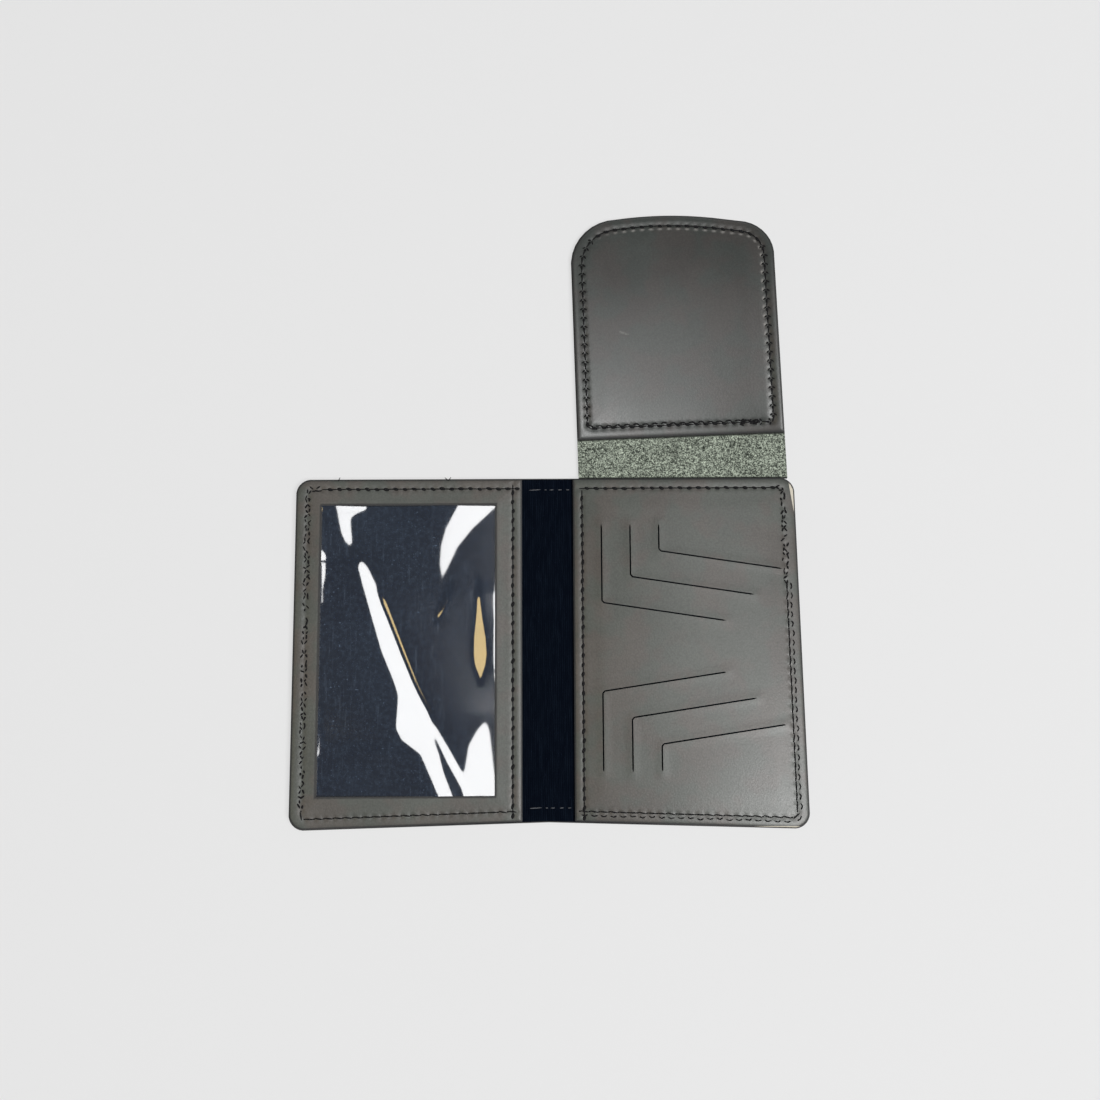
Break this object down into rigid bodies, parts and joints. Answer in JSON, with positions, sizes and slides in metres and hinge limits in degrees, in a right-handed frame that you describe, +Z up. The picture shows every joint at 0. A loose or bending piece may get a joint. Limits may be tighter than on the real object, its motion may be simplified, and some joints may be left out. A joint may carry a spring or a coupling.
{
  "type": "badge wallet",
  "caption": "Folding leather wallet with a clear identity-card window, a card panel cut with angled slits, and a stitched hinged flap for a badge.",
  "frame": {"origin": "middle of the spine, on the underside of the cover that lies on the table", "axes": "+X across the spine from the window half to the card half, +Y from the halves up to the badge flap, +Z up out of the open inside"},
  "size_m": [0.151, 0.187, 0.004],
  "materials": {
    "leather": "pebbled grain, semi-matte",
    "cover": "pebbled grain outside, raw edges",
    "suede": "flesh side showing, grain outside",
    "lining": "dark ribbed cloth",
    "film": "clear, glossy, slightly wavy",
    "thread": "waxed, twisted"
  },
  "bodies": {
    "right_half": {"cover_right": "cover", "lining_right": "lining", "card_backing": "lining", "card_panel": "leather", "seam_right": "thread", "seam_card_panel": "thread"},
    "spine": {"spine_cover": "cover", "spine_lining": "lining", "spine_seam": "thread"},
    "left_half": {"cover_left": "cover", "lining_left": "lining", "window_film": "film", "window_frame": "leather", "seam_left": "thread", "seam_window": "thread"},
    "flap_bend": {"flap_hinge": "suede"},
    "badge_flap": {"flap_base": "suede", "flap_liner": "leather", "flap_seam": "thread"}
  },
  "joints": [
    {"name": "spine_fold", "type": "hinge", "parent": "right_half", "child": "spine", "pos_m": [0.007, 0, 0.00165], "axis": [0, 1, 0], "range_deg": [0, 90]},
    {"name": "window_fold", "type": "hinge", "parent": "spine", "child": "left_half", "pos_m": [-0.007, 0, 0.00165], "axis": [0, 1, 0], "range_deg": [0, 90]},
    {"name": "flap_fold", "type": "hinge", "parent": "right_half", "child": "flap_bend", "pos_m": [0.0409, 0.0516, 0.00065], "axis": [1, 0, 0], "range_deg": [-90, 90]},
    {"name": "badge_fold", "type": "hinge", "parent": "flap_bend", "child": "badge_flap", "pos_m": [0.0409, 0.0571, 0.00065], "axis": [1, 0, 0], "range_deg": [-90, 90]}
  ]
}
